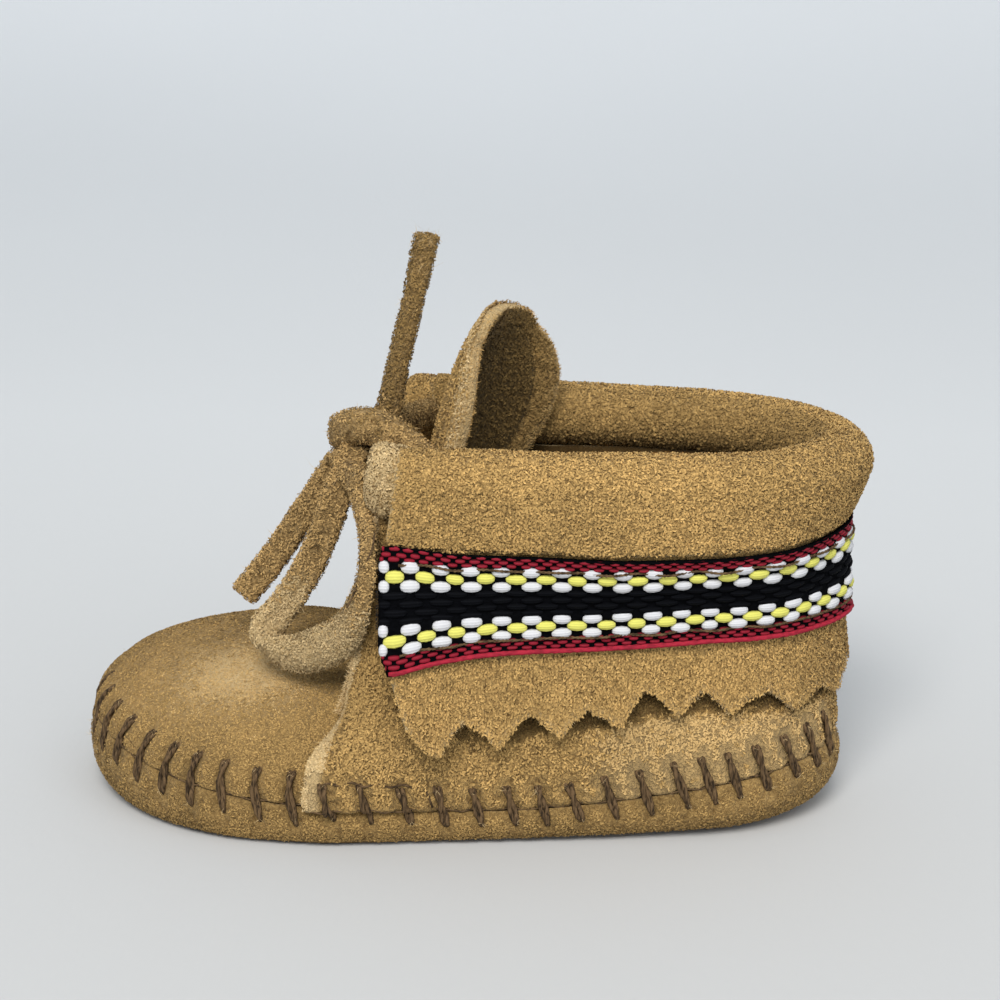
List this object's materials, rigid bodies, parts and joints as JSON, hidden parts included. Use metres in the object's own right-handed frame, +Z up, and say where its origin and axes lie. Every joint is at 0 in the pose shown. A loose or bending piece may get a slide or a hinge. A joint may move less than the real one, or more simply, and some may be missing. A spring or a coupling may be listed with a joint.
{
  "type": "baby moccasin",
  "caption": "Soft suede baby moccasin for a left foot, with a round toe, a stuffed collar roll, a fringed cuff with a woven braid, a cupped tongue and a thong bow in front.",
  "frame": {"origin": "centre of the object's box in plan, without the free thong, on the floor that the sole stands on", "axes": "+X forwards to the toe, +Y to the wearer's left, which is the shoe's outer side, +Z up"},
  "size_m": [0.1134, 0.0579, 0.0823],
  "materials": {
    "suede": "napped suede",
    "sole_suede": "napped suede",
    "lining": "napped suede in shade",
    "thong": "rough cut suede",
    "braid": "woven ribbon"
  },
  "bodies": {
    "root": {"sole": "sole_suede", "insole": "lining", "upper": "suede", "tongue": "suede", "collar_roll": "suede", "cuff": "suede", "braid": "braid", "lace_bar": "thong", "lace_knot": "thong", "lace_loop_outer": "thong", "lace_loop_inner": "thong", "lace_end_front": "thong", "lace_end_up": "thong"}
  },
  "joints": []
}
